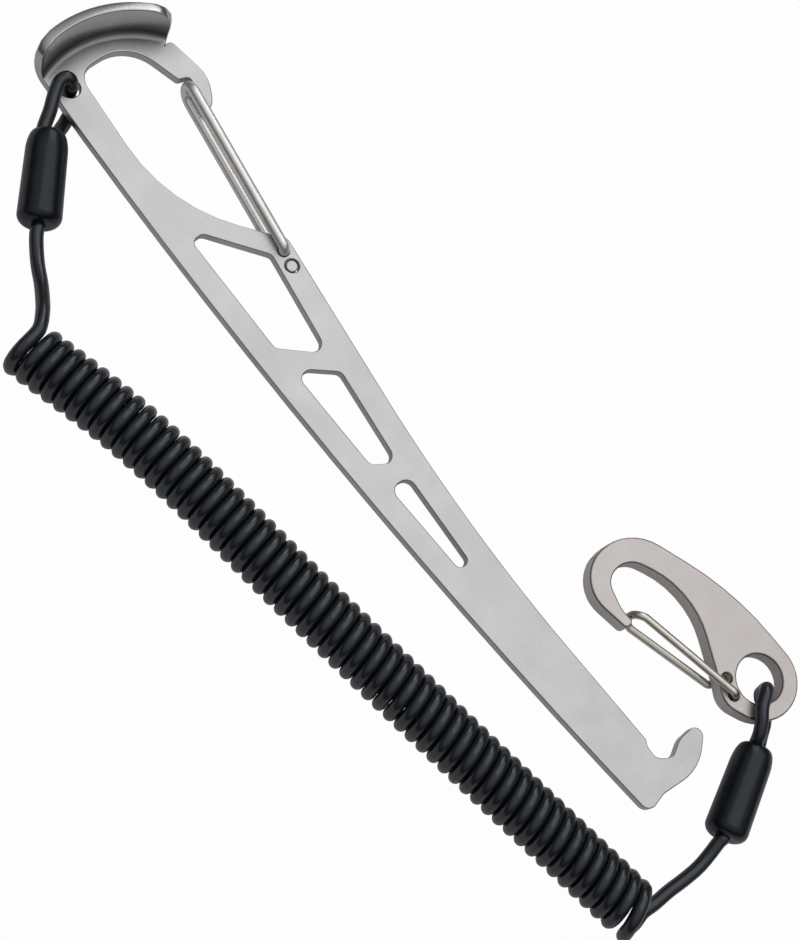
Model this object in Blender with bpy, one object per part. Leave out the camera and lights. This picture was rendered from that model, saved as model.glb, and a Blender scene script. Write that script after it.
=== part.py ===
"""Climbing nut key on a curly leash.

A stamped plate with a hooked tip, a folded palm flange and a wire gate head lies flat beside
its leash. The leash loops through an eye in the plate, winds into a long curl and ends in a
small wire gate clip. Metres, +Z up, +X from the flange to the hook, the floor at z = 0.
"""
import math

import bpy
import bmesh
import numpy as np
from mathutils import Matrix, Vector

# Gaps
CLEARANCE = 0.0003
LOOP_SLACK = 0.0002

# Plate of the key: its length runs from the heel below the cord eye to the toe below the hook
KEY_LENGTH = 0.2016
PLATE_THICKNESS = 0.0025
RIM_WIDTH = 0.0054
BACK_BOW = 0.00375
HEEL = (-0.0969, -0.0144)
TOE_RISE = 0.0032
GATE_CORNER = (-0.0397, 0.00735)
GATE_CORNER_RADIUS = 0.0012
UPPER_KNEE = (0.0340, -0.0027)
UPPER_KNEE_RADIUS = 0.425

# Corners (x, y, radius) of the hook from the toe to the beak, measured from the toe
HOOK = [(0.0, 0.0, 0.0023), (-0.00105, 0.0055, 0.0030), (0.0004, 0.0159, 0.0110),
        (-0.00735, 0.0248, 0.00184), (-0.00735, 0.0164, 0.0040), (-0.00535, 0.0124, 0.0022),
        (-0.0077, 0.0093, 0.0024), (-0.0108, 0.0095, 0.0015), (-0.0121, 0.01025, 0.0006)]

# Corners of the gate opening, the step that catches the gate, and the nose outside it
OPENING = [(-0.0602, -0.0101, 0.0380), (-0.0953, -0.0069, 0.0045), (-0.0956, 0.0067, 0.0095)]
STEP_RADIUS = 0.0010
NOSE_RADIUS = 0.0007
NOSE = [(-0.0742, 0.0142, 0.0058), (-0.0794, 0.01725, 0.0090), (-0.0903, 0.01545, 0.0011),
        (-0.0906, 0.0145, 0.0004)]

# Slots: x of the heel, rise of the heel, x of both upper ends and of the foot, width of the
# upper rim at both ends, corner radius at the heel and at the foot
LONG_SLOT = (-0.0510, 0.0030, -0.0388, -0.0142, -0.0219, 0.0054, 0.0062, 0.0016, 0.0022)
MIDDLE_SLOT = (-0.0139, 0.0029, -0.0094, 0.0135, 0.0102, 0.0060, 0.0061, 0.0019, 0.0020)
SHORT_SLOT = (0.0168, 0.0, 0.0174, 0.0394, 0.0394, 0.0058, 0.0057, 0.0021, 0.0013)

# Palm flange, folded up from the head along an arc
HEAD_CENTRE = (-0.0749, -0.0046)
FLANGE_ROOT = 0.0241
FLANGE_BEND = 0.0016
FLANGE_FOLD = 76.0
FLANGE_RISE = 0.0064
FLANGE_START = 130.4
FLANGE_START_CORNER = 0.0040
FLANGE_END_CORNER = 0.0052
CROWN_CHAMFER = 0.0003

# Cord eye in the head
EYE_CENTRE = (-0.0933, -0.0107)
EYE_SLACK = 0.0010

# Wire gate of the key
GATE_WIRE = 0.0020
GATE_FOOT = (-0.0380, 0.0046)
GATE_HEADING = 170.4
GATE_REACH = 0.0440
GATE_FOOT_STEP = 0.00375
GATE_FOOT_HEAD = 0.0027
NOSE_LAP = 0.0088

# Leash
CORD_DIAMETER = 0.00255
CURL_DIAMETER = 0.0106
CURLS = 55.5
LAST_TURN_PUSH = 0.0024
LAST_TURN_SHARE = 0.75
CURL_POINTS = 9
SLEEVE_LENGTH = 0.0216
SLEEVE_DIAMETER = 0.0096
SLEEVE_NECK = 0.0091
SLEEVE_WALL = 0.0006
SLEEVE_SHOULDER = 0.0046
SLEEVE_FOOT_ROUND = 0.0023
FERRULE_LENGTH = 0.0090
FERRULE_WALL = 0.0005
STRAND_GAP = 0.0004
STANDING_SHARES = (0.68, 0.35, 0.0)
TAIL_SHARES = (0.0, 0.35, 0.68)

# Clip on the far end of the leash, drawn about its cord eye
CLIP_THICKNESS = 0.0045
CLIP_EYE = (0.0993, 0.0285)
CLIP_TURN = 192.0
CLIP_EYE_RADIUS = 0.0056
CLIP_LOBE = 0.0093
CLIP_WIRE = 0.0018
CLIP_FOOT = (0.0027, 0.0070)
CLIP_REAR_FOOT = (0.0061, 0.0050)
CLIP_LOBE_SWEEP = (105.0, 256.0)
CLIP_CORNERS = [(0.0155, -0.01245, 0.0680), (0.0451, -0.0074, 0.0120), (0.0451, 0.0110, 0.0086),
                (0.0299, 0.0115, 0.0012), (0.0302, 0.00905, 0.0009), (0.0335, 0.00875, 0.0080),
                (0.03995, 0.0053, 0.0040), (0.0394, -0.0016, 0.0056), (0.0293, -0.00435, 0.0200),
                (0.0193, -0.00275, 0.0200), (0.0076, 0.0064, 0.0025), (0.0034, 0.0103, 0.0055)]
CLIP_GATE_TIP = (0.0310, 0.0078)
CLIP_GATE_FRONT = (0.0284, 0.0071)
CLIP_GATE_REAR = (0.0287, 0.0083)
CLIP_GATE_TURN = (0.0073, 0.0066)

# Places and heights that follow from the values above
TOE = (HEEL[0] + KEY_LENGTH, HEEL[1] + TOE_RISE)
PLATE_BOTTOM = CORD_DIAMETER + LOOP_SLACK + CLEARANCE
PLATE_TOP = PLATE_BOTTOM + PLATE_THICKNESS
CLIP_BOTTOM = PLATE_BOTTOM
CLIP_TOP = CLIP_BOTTOM + CLIP_THICKNESS
SLEEVE_AXIS = SLEEVE_DIAMETER / 2
CURL_AXIS = (CURL_DIAMETER + CORD_DIAMETER) / 2

# Faceting
ARC_STEP = 9.0
ARC_CHORD = 0.006
BACK_STEPS = 14
FLANGE_STEPS = 14
WIRE_SIDES = 2
CORD_SIDES = 2
CURL_SIDES = 1


def material(name, colour, roughness, metallic):
    """One Principled material."""
    made = bpy.data.materials.new(name)
    made.use_nodes = True
    shader = made.node_tree.nodes["Principled BSDF"]
    shader.inputs["Base Color"].default_value = (*colour, 1.0)
    shader.inputs["Roughness"].default_value = roughness
    shader.inputs["Metallic"].default_value = metallic
    return made


def turned(point, angle):
    """A plan point turned about the origin, angle in degrees."""
    c, s = math.cos(math.radians(angle)), math.sin(math.radians(angle))
    return (point[0] * c - point[1] * s, point[0] * s + point[1] * c)


def polar(centre, radius, angle):
    """A plan point at a radius and an angle, in degrees, from a centre."""
    across = turned((radius, 0.0), angle)
    return (centre[0] + across[0], centre[1] + across[1])


def bowed(start, end, bow, steps):
    """Points between two plan points along an arc that bulges to the right by bow."""
    a, b = Vector(start), Vector(end)
    chord = b - a
    right = Vector((chord.y, -chord.x)).normalized()
    half = chord.length / 2
    radius = (half * half + bow * bow) / (2 * bow)
    points = []
    for i in range(1, steps):
        along = -half + chord.length * i / steps
        lift = math.sqrt(radius * radius - along * along) - (radius - bow)
        points.append(a + chord * (i / steps) + right * lift)
    return [(p.x, p.y) for p in points]


def rounded(corners):
    """Plan outline through corners (x, y, radius), each rounded by its own radius."""
    outline = []
    for i, (x, y, radius) in enumerate(corners):
        here = Vector((x, y))
        if radius == 0.0:
            outline.append((x, y))
            continue
        back = (Vector(corners[i - 1][:2]) - here)
        ahead = (Vector(corners[(i + 1) % len(corners)][:2]) - here)
        half_angle = back.angle(ahead) / 2
        trim = radius / math.tan(half_angle)
        longest = 0.98 * min(back.length, ahead.length)
        if trim > longest:
            trim = longest
        radius = trim * math.tan(half_angle)
        start = here + back.normalized() * trim
        end = here + ahead.normalized() * trim
        centre = here + (back.normalized() + ahead.normalized()).normalized() * (
            radius / math.sin(half_angle))
        sweep = (end - centre).angle_signed(start - centre)
        steps = max(2, math.ceil(abs(math.degrees(sweep)) / ARC_STEP),
                    math.ceil(abs(sweep) * radius / ARC_CHORD))
        for k in range(steps + 1):
            arm = turned(start - centre, math.degrees(sweep) * k / steps)
            outline.append((centre.x + arm[0], centre.y + arm[1]))
    return outline


def circle(centre, radius, sides=24):
    """Plan circle as a loop of points."""
    return [polar(centre, radius, 360.0 * i / sides) for i in range(sides)]


def add_object(name, mesh_or_curve, surface, parent=None):
    """A named object that carries one material and hangs on its parent."""
    made = bpy.data.objects.new(name, mesh_or_curve)
    bpy.context.scene.collection.objects.link(made)
    mesh_or_curve.materials.append(surface)
    if parent is not None:
        made.parent = parent
        made.matrix_parent_inverse = parent.matrix_world.inverted()
    return made


def pivot(name, place, turn=0.0):
    """An empty on a joint's axis, which carries the piece that turns or slides there."""
    made = bpy.data.objects.new(name, None)
    bpy.context.scene.collection.objects.link(made)
    made.matrix_world = Matrix.Translation(place) @ Matrix.Rotation(math.radians(turn), 4, "Z")
    bpy.context.view_layer.update()
    return made


def mesh_from(bm, name):
    """Mesh with its faces turned outwards and its round walls shaded smooth."""
    bmesh.ops.triangulate(bm, faces=bm.faces)
    bmesh.ops.recalc_face_normals(bm, faces=bm.faces)
    mesh = bpy.data.meshes.new(name)
    bm.to_mesh(mesh)
    bm.free()
    mesh.shade_smooth()
    mesh.set_sharp_from_angle(angle=math.radians(30))
    return mesh


def plate_mesh(name, outline, holes, bottom, top, folded=None):
    """Plate of one outline and its holes, with an optional fold along part of the outline.

    folded maps an outline index to the section points that run from the top face, over the
    folded edge, to the bottom face.
    """
    bm = bmesh.new()
    folded = folded or {}
    face_edges = {bottom: [], top: []}
    for loop in [outline] + holes:
        rings = {z: [bm.verts.new((x, y, z)) for x, y in loop] for z in (bottom, top)}
        for z, ring in rings.items():
            for i, vert in enumerate(ring):
                face_edges[z].append(bm.edges.new((vert, ring[(i + 1) % len(ring)])))
        sections = {}
        if loop is outline:
            for i, points in folded.items():
                middle = [bm.verts.new(p) for p in points]
                sections[i] = [rings[top][i]] + middle + [rings[bottom][i]]
        for i in range(len(loop)):
            j = (i + 1) % len(loop)
            if i in sections and j in sections:
                for k in range(len(sections[i]) - 1):
                    bm.faces.new((sections[i][k], sections[j][k],
                                  sections[j][k + 1], sections[i][k + 1]))
            else:
                bm.faces.new((rings[bottom][i], rings[bottom][j], rings[top][j], rings[top][i]))
        if sections:
            bm.faces.new(sections[min(sections)])
            bm.faces.new(sections[max(sections)])
    for edges in face_edges.values():
        bmesh.ops.triangle_fill(bm, edges=edges, use_beauty=True)
    return mesh_from(bm, name)


def swept(name, points, diameter, resolution):
    """Round bar or cord along points, with filled ends."""
    curve = bpy.data.curves.new(name, "CURVE")
    curve.dimensions = "3D"
    curve.bevel_depth = diameter / 2
    curve.bevel_resolution = resolution
    curve.use_fill_caps = True
    spline = curve.splines.new("POLY")
    spline.points.add(len(points) - 1)
    for i, place in enumerate(points):
        spline.points[i].co = (*place, 1.0)
    spline.use_smooth = True
    return curve


def turned_mesh(name, profile, start, axis, sides=28):
    """Ring turned about an axis from a closed profile of (along, radius) points."""
    bm = bmesh.new()
    axis = Vector(axis).normalized()
    side = axis.cross(Vector((0.0, 0.0, 1.0))).normalized()
    up = side.cross(axis)
    rings = []
    for i in range(sides):
        angle = 2 * math.pi * i / sides
        out = side * math.cos(angle) + up * math.sin(angle)
        rings.append([bm.verts.new(Vector(start) + axis * a + out * r) for a, r in profile])
    for i in range(sides):
        ring, after = rings[i], rings[(i + 1) % sides]
        for k in range(len(profile)):
            m = (k + 1) % len(profile)
            bm.faces.new((ring[k], ring[m], after[m], after[k]))
    return mesh_from(bm, name)


def through(points, per_span=3):
    """Points read from a smooth curve through the route's own points."""
    route = [Vector(p) for p in points]
    route = [2 * route[0] - route[1]] + route + [2 * route[-1] - route[-2]]
    read = []
    for a, b, c, d in zip(route, route[1:], route[2:], route[3:]):
        for k in range(per_span):
            t = k / per_span
            read.append(0.5 * (2 * b + (c - a) * t + (2 * a - 5 * b + 4 * c - d) * t * t
                               + (3 * b - a - 3 * c + d) * t * t * t))
    read.append(route[-2])
    return read


# The key's plate

def gate_place(along, across):
    """Plan point beside the gate: along it from its front foot, across it towards the nose."""
    ahead = turned((1.0, 0.0), GATE_HEADING)
    return (GATE_FOOT[0] + ahead[0] * along + ahead[1] * across,
            GATE_FOOT[1] + ahead[1] * along - ahead[0] * across)


def flange_end(radius):
    """Angle at which the flange ends: its end runs on along the heel's straight line."""
    return 180.0 + math.degrees(math.asin((HEAD_CENTRE[1] - HEEL[1]) / radius))


def flange_shares():
    """Shares of the flange's arc for its sections, closer together at its rounded corners."""
    arc = math.radians(flange_end(FLANGE_ROOT) - FLANGE_START) * (FLANGE_ROOT + FLANGE_BEND)
    eased = [1 - math.cos(math.radians(30 * k)) for k in range(4)]
    start = [FLANGE_START_CORNER / arc * e for e in eased]
    end = [1 - FLANGE_END_CORNER / arc * e for e in eased[::-1]]
    steps = FLANGE_STEPS
    middle = [start[-1] + (end[0] - start[-1]) * i / steps for i in range(1, steps)]
    return arc, start + middle + end


def flange_section(share, arc):
    """Section of the folded flange: up its inner face, over its edge, down its outer face."""
    corner, from_end = FLANGE_START_CORNER, share * arc
    if share > 0.5:
        corner, from_end = FLANGE_END_CORNER, (1 - share) * arc
    drop = max(0.0, corner - from_end)
    rise = FLANGE_RISE - corner + math.sqrt(max(0.0, corner ** 2 - drop ** 2))
    fold = math.radians(FLANGE_FOLD)
    bends = [fold * k / 4 for k in range(5)]
    hub = PLATE_TOP + FLANGE_BEND
    outer_bend = FLANGE_BEND + PLATE_THICKNESS
    lean = Vector((math.cos(fold), math.sin(fold)))
    inner = [Vector((FLANGE_ROOT + FLANGE_BEND * math.sin(b), hub - FLANGE_BEND * math.cos(b)))
             for b in bends]
    outer = [Vector((FLANGE_ROOT + outer_bend * math.sin(b), hub - outer_bend * math.cos(b)))
             for b in bends]
    edge = CROWN_CHAMFER
    across = (outer[-1] - inner[-1]).normalized()
    crown = [inner[-1] + lean * (rise - edge),
             inner[-1] + lean * rise + across * edge,
             outer[-1] + lean * rise - across * edge,
             outer[-1] + lean * (rise - edge)]
    section = inner[1:] + crown + outer[:0:-1]
    return [(*polar(HEAD_CENTRE, r, FLANGE_START + share * (flange_end(r) - FLANGE_START)), z)
            for r, z in section]


def hook_corners():
    """Corners of the hook, placed at the toe."""
    return [(TOE[0] + x, TOE[1] + y, radius) for x, y, radius in HOOK]


def blade_edges():
    """Plan points along the blade's bowed back edge and its kneed upper edge."""
    back = [HEEL] + bowed(HEEL, TOE, BACK_BOW, BACK_STEPS) + [TOE]
    beak = hook_corners()[-1][:2]
    knee = rounded([(*GATE_CORNER, 0.0), (*UPPER_KNEE, UPPER_KNEE_RADIUS), (*beak, 0.0)])
    return back, knee


def slot(heel, heel_rise, top_left, top_right, foot, rim_left, rim_right, at_heel, at_foot):
    """Lightening slot whose long edges keep the rims' widths from the blade's edges."""
    back, knee = blade_edges()

    def low(x):
        return float(np.interp(x, [p[0] for p in back], [p[1] for p in back])) + RIM_WIDTH

    def high(x, rim):
        return float(np.interp(x, [p[0] for p in knee], [p[1] for p in knee])) - rim

    corners = [(heel, low(heel), at_heel), (foot, low(foot), at_foot),
               (top_right, high(top_right, rim_right), at_foot),
               (top_left, high(top_left, rim_left), at_heel)]
    if heel_rise > 0.0:
        corners.append((heel, low(heel) + heel_rise, at_heel))
    return rounded(corners)


def key_plate(surface):
    back, _ = blade_edges()
    arc, shares = flange_shares()
    wire_side = GATE_WIRE / 2 + CLEARANCE
    step = GATE_REACH + 1.5 * CLEARANCE
    turn = flange_end(FLANGE_ROOT) - FLANGE_START
    head_arc = [polar(HEAD_CENTRE, FLANGE_ROOT, FLANGE_START + turn * s) for s in shares]
    opening = [(*GATE_CORNER, GATE_CORNER_RADIUS)] + OPENING
    opening += [(*gate_place(step + CLEARANCE, -wire_side), STEP_RADIUS),
                (*gate_place(step, wire_side), STEP_RADIUS)]
    nose = [(*gate_place(GATE_REACH - NOSE_LAP, wire_side), NOSE_RADIUS)] + NOSE
    before = hook_corners() + [(*UPPER_KNEE, UPPER_KNEE_RADIUS)] + opening + nose
    outline = rounded([(*p, 0.0) for p in back[1:-1]] + before + [(*p, 0.0) for p in head_arc])
    first = len(outline) - len(head_arc)
    folded = {first + i: flange_section(s, arc) for i, s in enumerate(shares)}
    holes = [circle(EYE_CENTRE, CORD_DIAMETER / 2 + EYE_SLACK),
             circle(GATE_FOOT, GATE_WIRE / 2 + CLEARANCE, 12),
             circle(gate_place(-GATE_FOOT_STEP, 0.0), GATE_FOOT_HEAD / 2 + CLEARANCE, 16),
             slot(*LONG_SLOT), slot(*MIDDLE_SLOT), slot(*SHORT_SLOT)]
    return add_object("key_plate", plate_mesh("key_plate", outline, holes, PLATE_BOTTOM,
                                              PLATE_TOP, folded), surface)


# Wire gates

def elbow(corner, before, after, radius, steps=4):
    """Points of a rounded bend in a wire at a corner between two neighbours."""
    back = (Vector(before) - Vector(corner)).normalized()
    ahead = (Vector(after) - Vector(corner)).normalized()
    half_angle = back.angle(ahead) / 2
    trim = radius / math.tan(half_angle)
    centre = Vector(corner) + (back + ahead).normalized() * (radius / math.sin(half_angle))
    start = Vector(corner) + back * trim - centre
    end = Vector(corner) + ahead * trim - centre
    sweep = [start.normalized().slerp(end.normalized(), k / steps) for k in range(steps + 1)]
    return [centre + arm * radius for arm in sweep]


def key_gate_heights():
    """Heights of the gate's two legs: the rear one lies on the floor."""
    return GATE_WIRE / 2, PLATE_TOP + CLEARANCE + GATE_WIRE / 2


def key_gate(surface):
    """Hairpin wire: a foot in the plate, a leg on each face and a bend inside the nose."""
    low, high = key_gate_heights()
    middle, spread = (low + high) / 2, (high - low) / 2
    hub = GATE_REACH - GATE_WIRE / 2 - spread

    def at(along, height):
        return Vector((-along, 0.0, height - middle))

    foot_end, foot_corner = at(0.0, PLATE_BOTTOM + CLEARANCE), at(0.0, high)
    path = [foot_end] + elbow(foot_corner, foot_end, at(hub, high), 0.6 * GATE_WIRE)
    for k in range(9):
        angle = math.pi * (0.5 - k / 8)
        path.append(at(hub + spread * math.cos(angle), middle + spread * math.sin(angle)))
    path.append(at(-GATE_FOOT_STEP, low))
    axis = pivot("key_gate_axis", (*GATE_FOOT, middle), GATE_HEADING - 180.0)
    made = add_object("key_gate", swept("key_gate", path, GATE_WIRE, WIRE_SIDES), surface)
    made.parent = axis
    return made


def key_gate_rear_foot(surface):
    """Headed end of the same wire, flush in its own hole above the rear leg."""
    hole = gate_place(-GATE_FOOT_STEP, 0.0)
    path = [(*hole, PLATE_TOP - CLEARANCE), (*hole, PLATE_BOTTOM + CLEARANCE)]
    curve = swept("key_gate_rear_foot", path, GATE_FOOT_HEAD, WIRE_SIDES)
    return add_object("key_gate_rear_foot", curve, surface)


def clip_place(point, height):
    """Point of the clip's own drawing, placed in the part."""
    x, y = turned(point, CLIP_TURN)
    return (CLIP_EYE[0] + x, CLIP_EYE[1] + y, height)


def clip_frame(surface, swing):
    sweep = np.linspace(*CLIP_LOBE_SWEEP, 17)
    lobe = [(*polar((0.0, 0.0), CLIP_LOBE, a), 0.0) for a in sweep]
    outline = [clip_place(p, 0.0)[:2] for p in rounded(lobe + CLIP_CORNERS)]
    holes = [circle(CLIP_EYE, CLIP_EYE_RADIUS, 32),
             circle(clip_place(CLIP_FOOT, 0.0)[:2], CLIP_WIRE / 2 + CLEARANCE, 12),
             circle(clip_place(CLIP_REAR_FOOT, 0.0)[:2], CLIP_WIRE / 2 + CLEARANCE, 12)]
    mesh = plate_mesh("clip_frame", outline, holes, CLIP_BOTTOM, CLIP_TOP)
    return add_object("clip_frame", mesh, surface, swing)


def clip_gate(surface):
    """Hairpin wire of the clip: front leg and rear leg meet in a bend behind the nose."""
    low = CLIP_BOTTOM - CLEARANCE - CLIP_WIRE / 2
    high = CLIP_TOP + CLEARANCE + CLIP_WIRE / 2
    tip_high, tip_low = clip_place(CLIP_GATE_TIP, high), clip_place(CLIP_GATE_TIP, low)
    foot_end = clip_place(CLIP_FOOT, CLIP_BOTTOM + CLEARANCE)
    foot_corner = clip_place(CLIP_FOOT, high)
    front = clip_place(CLIP_GATE_FRONT, high)
    rear = clip_place(CLIP_GATE_REAR, low)
    path = [foot_end] + elbow(foot_corner, foot_end, front, 0.6 * CLIP_WIRE)
    path += elbow(tip_high, front, tip_low, 1.4 * CLIP_WIRE)
    path += elbow(tip_low, tip_high, rear, 1.4 * CLIP_WIRE)
    path += [clip_place(CLIP_GATE_TURN, low), clip_place(CLIP_REAR_FOOT, low)]
    axis = pivot("clip_gate_axis", clip_place(CLIP_FOOT, (CLIP_BOTTOM + CLIP_TOP) / 2), CLIP_TURN)
    inverse = axis.matrix_world.inverted()
    curve = swept("clip_gate", [inverse @ Vector(p) for p in path], CLIP_WIRE, WIRE_SIDES)
    made = add_object("clip_gate", curve, surface)
    made.parent = axis
    return made


def clip_gate_rear_foot(surface, swing):
    """Upright end of the clip's wire, in its own hole above the rear leg."""
    path = [clip_place(CLIP_REAR_FOOT, CLIP_TOP - CLEARANCE),
            clip_place(CLIP_REAR_FOOT, CLIP_BOTTOM + CLEARANCE)]
    curve = swept("clip_gate_rear_foot", path, CLIP_WIRE, WIRE_SIDES)
    return add_object("clip_gate_rear_foot", curve, surface, swing)


# Leash

SPREAD = (CORD_DIAMETER + STRAND_GAP) / 2


class Crimp:
    """A crimped end of the leash: where its sleeve lies and where its two strands run."""

    def __init__(self, mouth, heading, tilt):
        self.start = Vector((*mouth, SLEEVE_AXIS))
        self.axis = Vector((*turned((1.0, 0.0), heading), 0.0))
        across = self.axis.cross(Vector((0.0, 0.0, -1.0)))
        tilt = math.radians(tilt)
        self.across = across * math.cos(tilt) - Vector((0.0, 0.0, math.sin(tilt)))

    def strand(self, along, side):
        """Point on a strand: side +1 is the standing strand, -1 the tail."""
        return self.start + self.axis * along + self.across * (side * SPREAD)


KEY_CRIMP = Crimp((-0.08755, -0.0209), -43.6, 35.0)
CLIP_CRIMP = Crimp((0.1102, 0.0186), -65.6, 50.0)

# Middle line of the curl, read in plan
CURL_ROUTE = [(-0.0523, -0.0554), (-0.0231, -0.04795), (0.0289, -0.0410), (0.0739, -0.0347),
              (0.1203, -0.0278)]

KEY_LEAD = [(-0.0707, -0.0372, 0.0047), (-0.0680, -0.0393, 0.0047), (-0.0647, -0.0416, 0.0053),
            (-0.0610, -0.0439, 0.0066), (-0.0576, -0.0465, 0.0086), (-0.0551, -0.0489, 0.0106),
            (-0.0535, -0.0509, 0.0116)]
KEY_LOOP = [(-0.0871, -0.0185, 0.0030), (-0.0880, -0.0164, 0.0019), (-0.0887, -0.0148, 0.0014),
            (-0.0899, -0.0127, 0.0013), (-0.0913, -0.0113, 0.0013), (-0.0925, -0.0108, 0.0020),
            (-0.0930, -0.0107, 0.0034), (-0.0931, -0.0106, 0.0050), (-0.0933, -0.0105, 0.0066),
            (-0.0939, -0.0105, 0.0079), (-0.0946, -0.0111, 0.0085), (-0.0948, -0.0121, 0.0085),
            (-0.0945, -0.0133, 0.0082), (-0.0931, -0.0155, 0.0075), (-0.0910, -0.0181, 0.0067)]
CLIP_LEAD = [(0.1192, -0.0021, 0.0044), (0.11985, -0.0050, 0.0035), (0.1204, -0.0088, 0.0027),
             (0.1203, -0.0130, 0.0021), (0.1199, -0.0172, 0.0017), (0.1197, -0.0217, 0.00145)]
CLIP_LOOP = [(0.1103, 0.0208, 0.0030), (0.1096, 0.0228, 0.0020), (0.1084, 0.0253, 0.0014),
             (0.1060, 0.0277, 0.0014), (0.1038, 0.0287, 0.0016), (0.1027, 0.0289, 0.0026),
             (0.1023, 0.0288, 0.0042), (0.1020, 0.0287, 0.0058), (0.1018, 0.0283, 0.0076),
             (0.1018, 0.0274, 0.0089), (0.1024, 0.0260, 0.0094), (0.1039, 0.0235, 0.0094),
             (0.1061, 0.0214, 0.0090), (0.1079, 0.0196, 0.0079)]


def curl_frames():
    """Centres, plan normals and angles along the curl's middle line, CURL_POINTS a turn.

    The turns are even, but the cord that leaves the curl pulls part of the last one open.
    """
    line = through([(*p, CURL_AXIS) for p in CURL_ROUTE], 24)
    lengths = np.cumsum([0.0] + [(b - a).length for a, b in zip(line, line[1:])])
    count = round(CURLS * CURL_POINTS)
    even = lengths[-1] - LAST_TURN_PUSH
    frames = []
    for i in range(count + 1):
        loose = max(0.0, 1.0 - (count - i) / (LAST_TURN_SHARE * CURL_POINTS))
        run = even * i / count + LAST_TURN_PUSH * loose ** 1.5
        k = min(int(np.searchsorted(lengths, run, side="right")) - 1, len(line) - 2)
        share = (run - lengths[k]) / (lengths[k + 1] - lengths[k])
        heading = (line[k + 1] - line[k]).normalized()
        normal = Vector((-heading.y, heading.x, 0.0))
        angle = math.pi / 2 + 2 * math.pi * CURLS * i / count
        frames.append((line[k].lerp(line[k + 1], share), normal, angle))
    return frames


def curl_points():
    """Centre line of the curl, with a straight end one cord diameter long at each end."""
    points = []
    for centre, normal, angle in curl_frames():
        across = normal * math.cos(angle) + Vector((0.0, 0.0, math.sin(angle)))
        points.append(centre + across * (CURL_DIAMETER / 2))
    frames = curl_frames()
    points.insert(0, points[0] + frames[0][1] * CORD_DIAMETER)
    points.append(points[-1] + frames[-1][1] * CORD_DIAMETER)
    return points


def least_gap(points):
    """Least gap between the curl's surface and itself, measured a half turn or more apart."""
    places = np.array([tuple(p) for p in points])
    apart = CURL_POINTS // 2
    fine = np.concatenate([places[:-1] + (places[1:] - places[:-1]) * s
                           for s in (0.0, 0.25, 0.5, 0.75)])
    order = np.concatenate([np.arange(len(places) - 1) + s for s in (0.0, 0.25, 0.5, 0.75)])
    least = 1.0
    for i, place in enumerate(places):
        far = np.abs(order - i) > apart
        least = min(least, float(np.min(np.linalg.norm(fine[far] - place, axis=1))))
    return least - CORD_DIAMETER


def key_end(curl):
    """Cord from the curl through the key's crimp, round the eye and back to its tail."""
    meet = curl[0] + (curl[0] - curl[1]).normalized() * CLEARANCE
    return ([meet] + [Vector(p) for p in KEY_LEAD[::-1]]
            + [KEY_CRIMP.strand(SLEEVE_LENGTH, 0.0)]
            + [KEY_CRIMP.strand(SLEEVE_LENGTH * s, 1) for s in STANDING_SHARES]
            + [Vector(p) for p in KEY_LOOP]
            + [KEY_CRIMP.strand(SLEEVE_LENGTH * s, -1) for s in TAIL_SHARES])


def clip_end(curl):
    """Cord from the curl through the clip's crimp, round the clip's eye and back to its tail."""
    meet = curl[-1] + (curl[-1] - curl[-2]).normalized() * CLEARANCE
    return ([meet] + [Vector(p) for p in CLIP_LEAD[::-1]]
            + [CLIP_CRIMP.strand(SLEEVE_LENGTH, 0.0)]
            + [CLIP_CRIMP.strand(SLEEVE_LENGTH * s, 1) for s in STANDING_SHARES]
            + [Vector(p) for p in CLIP_LOOP]
            + [CLIP_CRIMP.strand(SLEEVE_LENGTH * s, -1) for s in TAIL_SHARES])


def sleeve(name, crimp, surface, parent=None):
    """Rubber sleeve with a long shoulder, a round foot and a mouth at each end for the cord."""
    outer, neck = SLEEVE_DIAMETER / 2, SLEEVE_NECK / 2
    mouth = SPREAD + CORD_DIAMETER / 2 + CLEARANCE
    foot_mouth = CORD_DIAMETER / 2 + 2 * CLEARANCE
    foot_bend = SLEEVE_LENGTH - SLEEVE_FOOT_ROUND
    quarter = [math.radians(22.5 * k) for k in range(5)]
    shoulder = [(SLEEVE_SHOULDER * (1 - math.cos(a)), mouth + (neck - mouth) * math.sin(a))
                for a in quarter]
    foot = [(foot_bend + SLEEVE_FOOT_ROUND * math.sin(a),
             outer - SLEEVE_FOOT_ROUND * (1 - math.cos(a))) for a in quarter]
    inside = [(SLEEVE_LENGTH, foot_mouth), (SLEEVE_LENGTH - SLEEVE_WALL, foot_mouth),
              (foot_bend, outer - SLEEVE_WALL), (SLEEVE_SHOULDER, neck - SLEEVE_WALL),
              (SLEEVE_WALL, mouth)]
    mesh = turned_mesh(name, shoulder + foot + inside, crimp.start, crimp.axis)
    return add_object(name, mesh, surface, parent)


def ferrule(name, crimp, surface, parent=None):
    """Crimped oval tube inside a sleeve, holding the standing strand and the tail."""
    bore = CORD_DIAMETER / 2 + CLEARANCE
    wall = bore + FERRULE_WALL
    along = (SLEEVE_LENGTH - FERRULE_LENGTH) / 2
    side = crimp.across
    up = crimp.axis.cross(side)
    bm = bmesh.new()
    rings = []
    for radius, start in ((wall, 0.0), (wall, FERRULE_LENGTH), (bore, FERRULE_LENGTH), (bore, 0.0)):
        ring = []
        for k in range(24):
            angle = 2 * math.pi * (k + 0.5) / 24
            shift = math.copysign(SPREAD, math.cos(angle))
            place = (crimp.start + crimp.axis * (along + start)
                     + side * (shift + radius * math.cos(angle)) + up * (radius * math.sin(angle)))
            ring.append(bm.verts.new(place))
        rings.append(ring)
    for ring, after in zip(rings, rings[1:] + rings[:1]):
        for k in range(24):
            m = (k + 1) % 24
            bm.faces.new((ring[k], ring[m], after[m], after[k]))
    return add_object(name, mesh_from(bm, name), surface, parent)


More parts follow.
